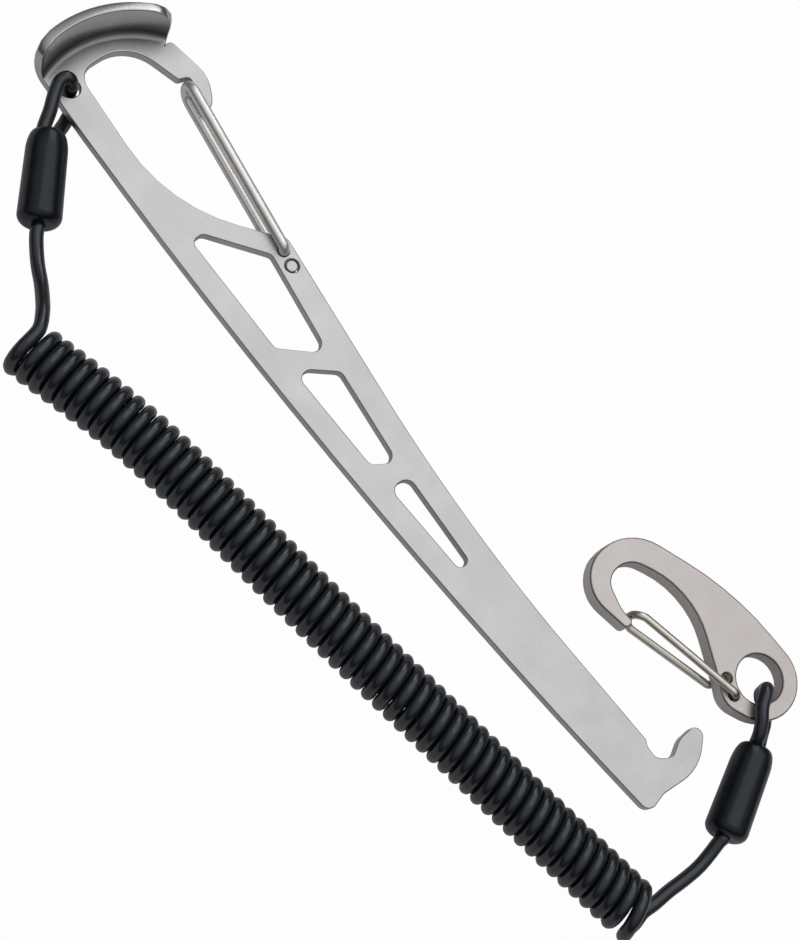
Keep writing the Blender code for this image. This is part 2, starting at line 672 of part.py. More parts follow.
def main():
    for leftover in list(bpy.data.objects):
        bpy.data.objects.remove(leftover, do_unlink=True)
    steel = material("tumbled_stainless", (0.55, 0.55, 0.56), 0.38, 1.0)
    gate_steel = material("bright_spring_wire", (0.68, 0.67, 0.66), 0.18, 1.0)
    clip_gate_steel = material("clip_spring_wire", (0.66, 0.64, 0.60), 0.22, 1.0)
    foot_steel = material("headed_wire_end", (0.64, 0.63, 0.61), 0.24, 1.0)
    clip_foot_steel = material("clip_wire_end", (0.62, 0.60, 0.57), 0.26, 1.0)
    alloy = material("anodised_aluminium", (0.47, 0.45, 0.44), 0.42, 1.0)
    urethane = material("black_polyurethane", (0.018, 0.020, 0.020), 0.28, 0.0)
    curl_urethane = material("black_polyurethane_curl", (0.018, 0.020, 0.020), 0.28, 0.0)
    clip_urethane = material("black_polyurethane_clip_end", (0.018, 0.020, 0.020), 0.28, 0.0)
    rubber = material("black_sleeve_key", (0.010, 0.012, 0.014), 0.22, 0.0)
    clip_rubber = material("black_sleeve_clip", (0.010, 0.012, 0.014), 0.22, 0.0)
    crimp_metal = material("crimp_aluminium_key", (0.60, 0.60, 0.60), 0.45, 1.0)
    clip_crimp_metal = material("crimp_aluminium_clip", (0.60, 0.60, 0.60), 0.45, 1.0)

    key_plate(steel)
    key_gate(gate_steel)
    key_gate_rear_foot(foot_steel)

    curl = curl_points()
    print("least gap of the curl to itself, mm:", round(least_gap(curl) * 1000, 3))
    add_object("leash_coil", swept("leash_coil", curl, CORD_DIAMETER, CURL_SIDES), curl_urethane)
    key_cord = swept("leash_key_end", through(key_end(curl)), CORD_DIAMETER, CORD_SIDES)
    add_object("leash_key_end", key_cord, urethane)
    sleeve("key_sleeve", KEY_CRIMP, rubber)
    ferrule("key_ferrule", KEY_CRIMP, crimp_metal)

    stretch = pivot("leash_end_carrier", curl[-1])
    clip_cord = swept("leash_clip_end", through(clip_end(curl)), CORD_DIAMETER, CORD_SIDES)
    add_object("leash_clip_end", clip_cord, clip_urethane, stretch)
    sleeve("clip_sleeve", CLIP_CRIMP, clip_rubber, stretch)
    ferrule("clip_ferrule", CLIP_CRIMP, clip_crimp_metal, stretch)

    swing = pivot("clip_swing_axis", (*CLIP_EYE, CLIP_BOTTOM + CLIP_THICKNESS / 2))
    clip_frame(alloy, swing)
    clip_gate(clip_gate_steel)
    clip_gate_rear_foot(clip_foot_steel, swing)


main()
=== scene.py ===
# %% [markdown]
# # A climbing nut key on its curly leash
# A nut key is a flat steel hook that a climber uses to free a wedged nut. This one has a wire
# gate in its head, a folded flange for the palm, and a curly cord that ends in a small clip.
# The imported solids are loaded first. They stay where they are, and every piece that is made
# here is placed on them, in metres, with the floor at z = 0.

# %% Load the frame
import math

import bmesh
import bpy
import numpy as np
from mathutils import Matrix, Vector


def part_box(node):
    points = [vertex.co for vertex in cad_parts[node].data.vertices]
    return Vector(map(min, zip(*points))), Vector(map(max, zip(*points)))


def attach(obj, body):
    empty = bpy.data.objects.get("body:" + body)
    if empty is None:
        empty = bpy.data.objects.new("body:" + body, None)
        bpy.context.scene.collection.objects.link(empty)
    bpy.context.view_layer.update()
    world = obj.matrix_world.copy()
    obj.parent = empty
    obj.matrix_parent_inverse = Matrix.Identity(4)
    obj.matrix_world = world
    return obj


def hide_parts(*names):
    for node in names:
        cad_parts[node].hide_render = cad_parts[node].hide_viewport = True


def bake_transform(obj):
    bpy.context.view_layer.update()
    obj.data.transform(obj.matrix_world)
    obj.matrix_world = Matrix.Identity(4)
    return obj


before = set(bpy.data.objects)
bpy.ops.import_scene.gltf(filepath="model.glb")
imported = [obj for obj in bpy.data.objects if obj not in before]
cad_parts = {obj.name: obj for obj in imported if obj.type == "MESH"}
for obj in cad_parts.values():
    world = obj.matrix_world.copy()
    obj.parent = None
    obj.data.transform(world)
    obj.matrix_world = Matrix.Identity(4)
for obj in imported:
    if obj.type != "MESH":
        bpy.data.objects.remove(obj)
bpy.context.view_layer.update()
print("solids:", sorted(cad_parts))

# %% [markdown]
# ## The camera
# The photograph looks down on the key from about 65 degrees, with the picture turned so that
# the blade runs from the upper left to the lower right. The camera is given by the point that
# it looks at, the direction back to the lens, and the direction that is to the right in the
# picture. The lens is long, as for a product shot, so lines stay nearly parallel.

# %% Place the camera
LOOK_AT = Vector((0.0150, -0.0065, 0.0056))
LENS_DISTANCE = 0.4268
PICTURE_WIDTH, PICTURE_HEIGHT = 800, 940
FOCAL_PIXELS = 2000.0
SENSOR = 36.0
back = Vector((0.0376, -0.4130, 0.9100)).normalized()
right = Vector((0.6259, 0.7198, 0.3008))
right = (right - back * right.dot(back)).normalized()
up = back.cross(right)
lens = bpy.data.cameras.new("lens")
lens.sensor_width = SENSOR
lens.lens = FOCAL_PIXELS * SENSOR / max(PICTURE_WIDTH, PICTURE_HEIGHT)
lens.clip_start = 0.01
camera = bpy.data.objects.new("camera", lens)
bpy.context.scene.collection.objects.link(camera)
turn = Matrix((right, up, back)).transposed().to_4x4()
camera.matrix_world = Matrix.Translation(LOOK_AT + back * LENS_DISTANCE) @ turn
bpy.context.scene.camera = camera
print("lens", round(lens.lens, 1), "mm, looking down from", round(math.degrees(math.asin(back.z))))

# %% [markdown]
# ## Tools for finishes
# Every finish is a node tree. One function turns an sRGB hex value to the linear colour that
# Blender works in. Another adds a node with its settings and links. A third starts a finish
# from the common shader, with the values that are the same all over set on the shader itself.

# %% Tools for finishes


def colour(code):
    """Linear colour of an sRGB hex value."""
    parts = [int(code[i:i + 2], 16) / 255 for i in (1, 3, 5)]
    return [p / 12.92 if p <= 0.04045 else ((p + 0.055) / 1.055) ** 2.4 for p in parts] + [1.0]


def add(tree, kind, links=None, **settings):
    """A node of one kind; links sets its inputs to values or joins them to other outputs."""
    node = tree.nodes.new(kind)
    for name, value in settings.items():
        setattr(node, name, value)
    for name, value in (links or {}).items():
        if isinstance(value, bpy.types.NodeSocket):
            tree.links.new(value, node.inputs[name])
        else:
            node.inputs[name].default_value = value
    return node


def finish(name, **values):
    """A material's tree and shader, with plain values on the shader's own sockets."""
    made = bpy.data.materials.new(name)
    made.use_nodes = True
    shader = made.node_tree.nodes["Principled BSDF"]
    for socket, value in values.items():
        shader.inputs[socket.replace("_", " ")].default_value = value
    return made, made.node_tree, shader


def per_mm(size):
    """Scale of a pattern whose grain has that size in millimetres."""
    return 1000.0 / size


NOISE_LOW, NOISE_HIGH = 0.3, 0.7  # nearly all of a noise lies between these
# Painted shade is full in inner corners that are left with this share of open air or less.
CORNER_SHUT = 0.62  # share of open air at which an inner corner is darkest
RELIEF_DEPTH = 0.0001


def grained(name, dark, light, grain_mm, cloud_mm, rough, dent, painted_corner_shade=None, polish=None,
            **values):
    """A finish with a fine grain in its gloss and relief, and soft clouds in its colour.

    A painted corner shade is a colour, the reach in millimetres over which inner corners are
    shaded towards it as painted shade, and the height in millimetres that it starts from. A
    polish is two heights in millimetres, and the roughness that is reached between them.
    """
    made, tree, shader = finish(name, **values)
    place = add(tree, "ShaderNodeTexCoord").outputs["Object"]
    height = add(tree, "ShaderNodeSeparateXYZ", {"Vector": place}).outputs["Z"]
    grain = add(tree, "ShaderNodeTexNoise", {
        "Vector": place, "Scale": per_mm(grain_mm), "Detail": 2.0}).outputs["Fac"]
    cloud = add(tree, "ShaderNodeTexNoise", {
        "Vector": place, "Scale": per_mm(cloud_mm), "Detail": 3.0}).outputs["Fac"]
    spread = add(tree, "ShaderNodeMapRange", {
        "Value": cloud, "From Min": NOISE_LOW, "From Max": NOISE_HIGH}).outputs["Result"]
    tint = add(tree, "ShaderNodeMix", {
        0: spread, 6: colour(dark), 7: colour(light)}, data_type="RGBA").outputs[2]
    # Painted shade: ambient occlusion mixes inner corners towards the shade colour, above the
    # start height.
    if painted_corner_shade:
        shade_colour, reach_mm, start_mm = painted_corner_shade
        open_air = add(tree, "ShaderNodeAmbientOcclusion", {"Distance": reach_mm / 1000},
                       samples=8, only_local=True).outputs["AO"]
        clear = add(tree, "ShaderNodeMapRange", {
            "Value": open_air, "From Min": CORNER_SHUT, "From Max": 1.0}).outputs["Result"]
        below = add(tree, "ShaderNodeMath", {0: height, 1: start_mm / 1000},
                    operation="LESS_THAN").outputs[0]
        clear = add(tree, "ShaderNodeMath", {0: clear, 1: below}, operation="MAXIMUM").outputs[0]
        tint = add(tree, "ShaderNodeMix", {
            0: clear, 6: colour(shade_colour), 7: tint}, data_type="RGBA").outputs[2]
    gloss = add(tree, "ShaderNodeMapRange", {
        "Value": grain, "From Min": NOISE_LOW, "From Max": NOISE_HIGH,
        "To Min": rough[0], "To Max": rough[1]}).outputs["Result"]
    if polish:
        low_mm, high_mm, polished = polish
        rubbed = add(tree, "ShaderNodeMapRange", {
            "Value": height, "From Min": low_mm / 1000,
            "From Max": high_mm / 1000}).outputs["Result"]
        gloss = add(tree, "ShaderNodeMix", {0: rubbed, 2: gloss, 3: polished}).outputs[0]
    relief = add(tree, "ShaderNodeBump", {
        "Height": grain, "Strength": dent, "Distance": RELIEF_DEPTH}).outputs["Normal"]
    tree.links.new(tint, shader.inputs["Base Color"])
    tree.links.new(gloss, shader.inputs["Roughness"])
    tree.links.new(relief, shader.inputs["Normal"])
    return made


# %% [markdown]
# ## The metals
# The plate is stamped stainless steel, tumbled with stones until it is satin: an even grain,
# with faint clouds where the stones rubbed longer. Its inner corners, most of all the fold of
# the flange, are darkened with painted shade, and palms polish the flange. The stones work most
# on edges, which turn glossy; the edges are also given a darker colour, a painted dark line. The
# gates are drawn spring wire, satin from the die. The clip is aluminium, blasted with beads and
# anodised in a warm grey, so its grain is finer and softer, and its edges get the same painted
# dark line. The grains are drawn at 0.3 mm and more, coarser than the real ones, so that they
# show at the size of the picture.

# %% The metals
# The steel's inner corners, most of all the fold of the flange, get a dark grey painted shade.
steel = grained("tumbled_stainless_steel", "#BCBBBC", "#C5C4C5", 0.35, 8.0, (0.36, 0.44), 0.12,
                painted_corner_shade=("#222224", 8.0, 5.4), polish=(6.5, 8.5, 0.20), Metallic=1.0)
# The steel's edges are glossier, and their colour is darker than the face: a painted dark line.
steel_edge = grained("polished_steel_edge_painted_dark", "#A8A8AA", "#B4B4B6", 0.35, 8.0, (0.14, 0.20),
                     0.0, Metallic=1.0)
wire = grained("drawn_spring_wire", "#E2E0DE", "#ECEAE8", 0.5, 3.0, (0.34, 0.42), 0.0,
               Metallic=1.0)
clip_wire = grained("drawn_clip_wire", "#CFCBC2", "#DBD7CE", 0.5, 3.0, (0.26, 0.34), 0.0,
                    Metallic=1.0)
alloy = grained("bead_blasted_anodised_aluminium", "#C2BDBB", "#C8C3C1", 0.30, 6.0,
                (0.40, 0.50), 0.08, Metallic=1.0)
# The clip's edges are glossier, and their colour is much darker than the face: a painted dark
# line.
alloy_edge = grained("anodised_aluminium_edge_painted_dark", "#8E8986", "#98938F", 0.30, 6.0, (0.14, 0.20),
                     0.0, Metallic=1.0)
crimp = grained("crimped_aluminium_tube", "#B4B4B4", "#C6C6C6", 0.5, 3.0, (0.40, 0.50), 0.1,
                Metallic=1.0)
metals = (steel, steel_edge, wire, clip_wire, alloy, alloy_edge, crimp)
print("metals:", [metal.name for metal in metals])

# %% [markdown]
# ## The black plastics
# The leash is extruded polyurethane: black all through, with a soft wide gloss. The sleeves
# over the crimps are dipped vinyl, darker and glossier, with a slow ripple that the dip leaves.

# %% The black plastics
urethane = grained("extruded_black_polyurethane", "#131518", "#171A1D", 0.8, 6.0, (0.18, 0.24),
                   0.0, Specular_IOR_Level=0.8, Specular_Tint=colour("#E4EBF6"))
vinyl = grained("dipped_black_vinyl", "#07090D", "#0B0E13", 2.5, 8.0, (0.20, 0.28), 0.2,
                Specular_Tint=colour("#DAE4F2"))
print("plastics:", [m.name for m in (urethane, vinyl)])

# %% [markdown]
# ## A round bar along a path
# Cord and wire are both a round section that follows a line. A small Geometry Nodes tree does
# that: it sweeps a circle along the path, closes the ends, shades it smooth and sets the
# finish. The result is turned to a plain mesh, because a mesh is what rides on the frame.

# %% A round bar along a path


def bar_tree():
    """The tree, and the identifiers of its named inputs."""
    tree = bpy.data.node_groups.new("round_bar_along_a_path", "GeometryNodeTree")
    sockets = {}
    tree.interface.new_socket("Path", in_out="INPUT", socket_type="NodeSocketGeometry")
    for name, kind in (("Radius", "Float"), ("Sides", "Int"), ("Finish", "Material")):
        made = tree.interface.new_socket(name, in_out="INPUT", socket_type="NodeSocket" + kind)
        sockets[name] = made.identifier
    tree.interface.new_socket("Bar", in_out="OUTPUT", socket_type="NodeSocketGeometry")
    given = add(tree, "NodeGroupInput").outputs
    ring = add(tree, "GeometryNodeCurvePrimitiveCircle", {
        "Resolution": given["Sides"], "Radius": given["Radius"]}).outputs["Curve"]
    swept = add(tree, "GeometryNodeCurveToMesh", {
        "Curve": given["Path"], "Profile Curve": ring, "Fill Caps": True}).outputs["Mesh"]
    smooth = add(tree, "GeometryNodeSetShadeSmooth", {"Geometry": swept}).outputs["Geometry"]
    real = add(tree, "GeometryNodeRealizeInstances", {"Geometry": smooth}).outputs["Geometry"]
    painted = add(tree, "GeometryNodeSetMaterial", {
        "Geometry": real, "Material": given["Finish"]}).outputs["Geometry"]
    add(tree, "NodeGroupOutput", {"Bar": painted})
    return tree, sockets


BAR_TREE, BAR_INPUTS = bar_tree()
CAP_ANGLE = math.radians(40)


def show(name, mesh):
    """An object at the origin that carries the mesh."""
    made = bpy.data.objects.new(name, mesh)
    bpy.context.scene.collection.objects.link(made)
    return made


def bar(name, points, diameter, sides, surface):
    """Round bar along points, as a plain mesh whose rings follow the points in order."""
    line = bpy.data.curves.new(name + "_path", "CURVE")
    line.dimensions = "3D"
    spline = line.splines.new("POLY")
    spline.points.add(len(points) - 1)
    for spot, place in zip(spline.points, points):
        spot.co = (*place, 1.0)
    carrier = show(name + "_path", line)
    modifier = carrier.modifiers.new("bar", "NODES")
    modifier.node_group = BAR_TREE
    modifier[BAR_INPUTS["Radius"]] = diameter / 2
    modifier[BAR_INPUTS["Sides"]] = sides
    modifier[BAR_INPUTS["Finish"]] = surface
    bpy.context.view_layer.update()
    ready = carrier.evaluated_get(bpy.context.evaluated_depsgraph_get())
    mesh = bpy.data.meshes.new_from_object(ready)
    bpy.data.objects.remove(carrier)
    mesh.name = name
    mesh.set_sharp_from_angle(angle=CAP_ANGLE)
    return show(name, mesh)


print("tree inputs:", sorted(BAR_INPUTS))

# %% [markdown]
# ## The leash's route
# The leash is one cord. It starts in the key's crimp, loops through the eye of the plate, runs
# down through the sleeve to the curl, winds along it, and ends the same way in the clip's eye.
# The route points are those of the solids. A smooth curve is read through them, and the curl
# is a formula: so many turns about a middle line. The turns lie over a little, forwards near
# the key and backwards near the clip, and the last turn is pushed on by the cord that leaves it.

# %% The leash's route
CORD = 0.00306
CORD_SIDES = 18
FLOOR_GAP = 0.00003
CURL_OUTER_RADIUS = 0.0066
CURL_AXIS = 0.00664
CURLS = 55.5
CURL_POINTS = 20
LEAN = (0.00195, -0.0055, 0.0025)  # at the start, and what share and its square add to it
LAST_TURN_PUSH = 0.0024
LAST_TURN_SHARE = 0.55
LAST_TURN_EASE = 1.5
CURL_ROUTE_STEPS = 24
SLEEVE_LENGTH = 0.0216
SLEEVE_AXIS = 0.00485
STRAND_SPREAD = 0.00155
STRAND_SHARES = (0.0, 0.35, 0.68)
CURL_ROUTE = [(-0.0523, -0.0554), (-0.0231, -0.04795), (0.0289, -0.0410), (0.0739, -0.0347),
              (0.1203, -0.0278)]
KEY_LEAD = [(-0.0707, -0.0372, 0.0047), (-0.0680, -0.0393, 0.0047), (-0.0647, -0.0416, 0.0053),
            (-0.0610, -0.0439, 0.0066), (-0.0576, -0.0465, 0.0086), (-0.0549, -0.0489, 0.0104)]
KEY_LOOP = [(-0.0871, -0.0185, 0.0030), (-0.0880, -0.0164, 0.0019), (-0.0887, -0.0148, 0.0014),
            (-0.0899, -0.0127, 0.0013), (-0.0913, -0.0113, 0.0013), (-0.0925, -0.0108, 0.0020),
            (-0.0930, -0.0107, 0.0034), (-0.0931, -0.0106, 0.0050), (-0.0933, -0.0105, 0.0066),
            (-0.0939, -0.0105, 0.0079), (-0.0946, -0.0111, 0.0085), (-0.0948, -0.0121, 0.0085),
            (-0.0945, -0.0133, 0.0082), (-0.0931, -0.0155, 0.0075), (-0.0910, -0.0181, 0.0067)]
CLIP_LEAD = [(0.1192, -0.0021, 0.0044), (0.11985, -0.0050, 0.0035), (0.1204, -0.0088, 0.0027),
             (0.1203, -0.0130, 0.0021), (0.1199, -0.0172, 0.0017), (0.1197, -0.0217, 0.0015)]
CLIP_LOOP = [(0.1103, 0.0208, 0.0030), (0.1096, 0.0228, 0.0020), (0.1084, 0.0253, 0.0014),
             (0.1060, 0.0277, 0.0014), (0.1038, 0.0287, 0.0016), (0.1027, 0.0289, 0.0026),
             (0.1023, 0.0288, 0.0042), (0.1020, 0.0287, 0.0058), (0.1018, 0.0283, 0.0076),
             (0.1018, 0.0274, 0.0089), (0.1024, 0.0260, 0.0094), (0.1039, 0.0235, 0.0094),
             (0.1061, 0.0214, 0.0090), (0.1079, 0.0196, 0.0079)]


def read_through(points, per_span):
    """Points read from a smooth curve through the route's own points, close or far apart."""
    route = [Vector(p) for p in points]
    route = [2 * route[0] - route[1]] + route + [2 * route[-1] - route[-2]]
    read = []
    for a, b, c, d in zip(route, route[1:], route[2:], route[3:]):
        at_b = math.sqrt((b - a).length)
        at_c = at_b + math.sqrt((c - b).length)
        at_d = at_c + math.sqrt((d - c).length)
        for k in range(per_span):
            share = k / per_span
            t = at_b + (at_c - at_b) * share
            middle = b.lerp(c, share)
            first = a.lerp(b, t / at_b).lerp(middle, t / at_c)
            last = middle.lerp(c.lerp(d, (t - at_c) / (at_d - at_c)), (t - at_b) / (at_d - at_b))
            read.append(first.lerp(last, share))
    return read + [route[-2]]


class Crimp:
    """A crimped end of the leash: where its sleeve lies and where its two strands run."""

    def __init__(self, x, y, heading, tilt):
        self.start = Vector((x, y, SLEEVE_AXIS))
        self.axis = Vector((math.cos(math.radians(heading)), math.sin(math.radians(heading)), 0))
        level = self.axis.cross(Vector((0, 0, -1)))
        tilt = math.radians(tilt)
        self.across = level * math.cos(tilt) - Vector((0, 0, math.sin(tilt)))

    def strand(self, share, side):
        """Point on a strand: side +1 is the standing strand, -1 the tail."""
        return (self.start + self.axis * (share * SLEEVE_LENGTH)
                + self.across * (side * STRAND_SPREAD))


KEY_CRIMP = Crimp(x=-0.08755, y=-0.0209, heading=-43.6, tilt=35)
CLIP_CRIMP = Crimp(x=0.1102, y=0.0186, heading=-65.6, tilt=50)


def curl():
    """Points of the curl, CURL_POINTS a turn, and a point that leads into each end."""
    spots = read_through([(*p, 0) for p in CURL_ROUTE], CURL_ROUTE_STEPS)
    line = np.array([tuple(p) for p in spots])
    run = np.concatenate([[0], np.cumsum(np.linalg.norm(np.diff(line, axis=0), axis=1))])
    count = round(CURLS * CURL_POINTS)
    share = np.linspace(0, 1, count + 1)
    loose = np.clip(1 - CURLS * (1 - share) / LAST_TURN_SHARE, 0, 1)
    reach = (run[-1] - LAST_TURN_PUSH) * share + LAST_TURN_PUSH * loose ** LAST_TURN_EASE
    middle = np.stack([np.interp(reach, run, line[:, k]) for k in (0, 1)], 1)
    heading = np.gradient(middle, axis=0)
    heading /= np.linalg.norm(heading, axis=1)[:, None]
    side = np.stack([-heading[:, 1], heading[:, 0]], 1)
    angle = math.pi / 2 + 2 * math.pi * CURLS * share
    radius = CURL_OUTER_RADIUS - CORD / 2
    lean = LEAN[0] + LEAN[1] * share + LEAN[2] * share ** 2
    ahead = lean * (1 + np.cos(angle)) / 2
    plan = middle + side * (np.cos(angle) * radius)[:, None] + heading * ahead[:, None]
    points = [Vector((*p, CURL_AXIS + radius * math.sin(a))) for p, a in zip(plan, angle)]
    before = points[0] + Vector((*side[0], 0)) * CORD
    after = points[-1] + Vector((*side[-1], 0)) * CORD
    return before, points, after


def leash_end(crimp_end, lead, loop):
    """Route from the tail in a crimp, round its eye, back through the crimp and along the lead."""
    tail = [crimp_end.strand(s, -1) for s in STRAND_SHARES[::-1]]
    standing = [crimp_end.strand(s, 1) for s in STRAND_SHARES]
    return tail + loop[::-1] + standing + [crimp_end.strand(1.0, 0)] + lead


before, turns, after = curl()
key_route = leash_end(KEY_CRIMP, KEY_LEAD, KEY_LOOP) + [before, turns[0], turns[1]]
clip_route = leash_end(CLIP_CRIMP, CLIP_LEAD, CLIP_LOOP) + [after, turns[-1], turns[-2]]
PER_SPAN = 4
key_part = read_through(key_route, PER_SPAN)[:-PER_SPAN - 1]
clip_part = read_through(clip_route, PER_SPAN)[:-PER_SPAN - 1][::-1]
line = key_part + turns + clip_part
for place in line:
    place.z = max(place.z, CORD / 2 + FLOOR_GAP)
follow = np.concatenate([np.zeros(len(key_part)), np.linspace(0, 1, len(turns)),
                         np.ones(len(clip_part))])

# %% The leash itself
leash = bar("leash_cord", line, CORD, CORD_SIDES, urethane)
spots = np.array([v.co for v in leash.data.vertices])
rings = spots[:len(line) * CORD_SIDES].reshape(len(line), CORD_SIDES, 3).mean(1)
print("rings off their points by", round(float(np.abs(rings - np.array(line)).max()) * 1000, 4),
      "mm, vertices left over:", len(spots) - len(line) * CORD_SIDES)
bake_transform(leash)
weights = np.ones(len(spots), np.float32)
weights[:len(line) * CORD_SIDES] = np.repeat(follow, CORD_SIDES)
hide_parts("leash_key_end", "leash_coil", "leash_clip_end")

# %% [markdown]
# ## The sleeves
# Each crimp is covered by a short dipped sleeve with a long shoulder and a round foot, a little
# thicker below than above. It is turned about its axis from a profile that closes on the two
# strands at its top and on one at its foot.

# %% The sleeves
SLEEVE_SIDES = 48
QUARTER_STEPS = 12


def turned_piece(name, profile, start, axis, surface):
    """A closed ring, turned about an axis from a closed profile of (along, radius) points."""
    bm = bmesh.new()
    side = axis.cross(Vector((0, 0, 1))).normalized()
    rise = side.cross(axis)
    rings = []
    for i in range(SLEEVE_SIDES):
        angle = 2 * math.pi * i / SLEEVE_SIDES
        out = side * math.cos(angle) + rise * math.sin(angle)
        rings.append([bm.verts.new(start + axis * a + out * r) for a, r in profile])
    for ring, following in zip(rings, rings[1:] + rings[:1]):
        for k in range(len(profile)):
            m = (k + 1) % len(profile)
            bm.faces.new((ring[k], ring[m], following[m], following[k]))
    bmesh.ops.recalc_face_normals(bm, faces=bm.faces)
    mesh = bpy.data.meshes.new(name)
    bm.to_mesh(mesh)
    bm.free()
    mesh.materials.append(surface)
    mesh.shade_smooth()
    mesh.set_sharp_from_angle(angle=CAP_ANGLE)
    return show(name, mesh)


def sleeve_profile(neck, foot, top_mouth, foot_mouth, wall, shoulder, foot_round):
    """Outside from the top mouth over the shoulder to the round foot, then back along the bore."""
    sweep = [math.radians(90 / QUARTER_STEPS * k) for k in range(QUARTER_STEPS + 1)]
    foot_bend = SLEEVE_LENGTH - foot_round
    outside = [(shoulder * (1 - math.cos(a)), top_mouth + (neck - top_mouth) * math.sin(a))
               for a in sweep]
    outside += [(foot_bend + foot_round * math.sin(a), foot - foot_round * (1 - math.cos(a)))
                for a in sweep]
    return outside + [(SLEEVE_LENGTH, foot_mouth), (SLEEVE_LENGTH - wall, foot_mouth),
                      (foot_bend, foot - wall), (shoulder, neck - wall), (wall, top_mouth)]


profile = sleeve_profile(neck=0.00455, foot=0.0048, top_mouth=0.00306, foot_mouth=CORD / 2,
                         wall=0.0007, shoulder=0.0050, foot_round=0.0023)
key_sleeve = turned_piece("key_end_sleeve", profile, KEY_CRIMP.start, KEY_CRIMP.axis, vinyl)
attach(key_sleeve, "key")
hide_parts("key_sleeve")
clip_sleeve = turned_piece("clip_end_sleeve", profile, CLIP_CRIMP.start, CLIP_CRIMP.axis, vinyl)
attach(clip_sleeve, "leash_end")
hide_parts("clip_sleeve")
for node in ("key_ferrule", "clip_ferrule"):
    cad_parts[node].data.materials[0] = crimp
print("sleeves:", key_sleeve.name, clip_sleeve.name)

# %% [markdown]
# ## The plates
# The key's plate and the clip's frame are flat shapes whose edges were knocked off by the
# tumbling. Their solids already have the right outline, so each piece starts as a copy of its
# solid. The copy's loose triangles are merged, flat neighbours are joined, and a small Bevel
# rounds the sharp edges, which mirror the dark room as a thin line; the edges' darker colour is
# a painted dark line on top of that.

# %% The plates
EDGE_ANGLE = math.radians(60)
FLAT_ANGLE = math.radians(0.5)
MERGE_DISTANCE = 0.000002
PLATE_EDGE = 0.0003
CLIP_EDGE = 0.0004


def knocked_off(name, node, width, surface, edge_surface):
    """A copy of a plate's solid with its edges rounded by width, in their own finish."""
    bm = bmesh.new()
    bm.from_mesh(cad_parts[node].data)
    bmesh.ops.remove_doubles(bm, verts=bm.verts, dist=MERGE_DISTANCE)
    bmesh.ops.dissolve_limit(bm, angle_limit=FLAT_ANGLE, verts=bm.verts, edges=bm.edges)
    mesh = bpy.data.meshes.new(name)
    bm.to_mesh(mesh)
    bm.free()
    mesh.materials.clear()
    mesh.materials.append(surface)
    mesh.materials.append(edge_surface)
    made = show(name, mesh)
    edges = made.modifiers.new("edges", "BEVEL")
    edges.limit_method = "ANGLE"
    edges.angle_limit = EDGE_ANGLE
    edges.width = width
    edges.segments = 3
    edges.use_clamp_overlap = False
    edges.loop_slide = False
    # The rounded edges take the second finish, whose darker colour paints a dark line along them.
    edges.material = 1
    flats = made.modifiers.new("flats", "WEIGHTED_NORMAL")
    flats.mode = "FACE_AREA_WITH_ANGLE"
    flats.weight = 100
    mesh.shade_smooth()
    return made


plate = knocked_off("key_plate_tumbled", "key_plate", PLATE_EDGE, steel, steel_edge)
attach(plate, "key")
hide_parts("key_plate")
clip = knocked_off("clip_frame_blasted", "clip_frame", CLIP_EDGE, alloy, alloy_edge)
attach(clip, "clip")
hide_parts("clip_frame")
print("plates:", plate.name, clip.name)

# %% [markdown]
# ## The gates
# Each gate is one springy wire bent into a hairpin. Its front end turns down into a hole, its
# legs run along both faces to the nose, and its rear end turns up into a second hole. The two
# holes are a little apart, which twists the wire and closes the gate.

# %% Bends in a wire
WIRE_SIDES = 20
BEND_STEPS = 8
FOOT_BEND, TIP_BEND, REAR_BEND = 0.6, 1.4, 0.7  # radii of the bends, in wires


def bend(corner, before, after, radius):
    """Points of a rounded bend at a corner between two neighbours."""
    behind = (before - corner).normalized()
    ahead = (after - corner).normalized()
    half_angle = behind.angle(ahead) / 2
    hub = corner + (behind + ahead).normalized() * (radius / math.sin(half_angle))
    first = (corner + behind * (radius / math.tan(half_angle)) - hub).normalized()
    last = (corner + ahead * (radius / math.tan(half_angle)) - hub).normalized()
    return [hub + first.slerp(last, k / BEND_STEPS) * radius for k in range(BEND_STEPS + 1)]


def gate_piece(name, points, diameter, surface, body, node):
    """A wire of a gate that rides on a body and stands for a solid."""
    made = bar(name, points, diameter, WIRE_SIDES, surface)
    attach(made, body)
    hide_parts(node)
    return made


# %% The gate of the key
PLATE_THICKNESS = 0.0025
PLATE_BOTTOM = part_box("key_plate")[0].z
PLATE_TOP = PLATE_BOTTOM + PLATE_THICKNESS
KEY_WIRE = 0.0024
GAP = 0.0003
GATE_FOOT = Vector((-0.0380, 0.0046, 0.0))
GATE_HEADING = math.radians(170.4)
GATE_ALONG = Vector((math.cos(GATE_HEADING), math.sin(GATE_HEADING), 0.0))
GATE_REACH = 0.0440
FOOT_STEP = 0.00375
FOOT_HEAD = 0.0027
HEAD_SINK = 0.0001
HEAD_DOME = 0.0003
REAR_LEG, FRONT_LEG = KEY_WIRE / 2, PLATE_TOP + GAP + KEY_WIRE / 2


def on_gate(along, height):
    """Point over the gate's line, along it from its front foot."""
    return GATE_FOOT + GATE_ALONG * along + Vector((0, 0, height))


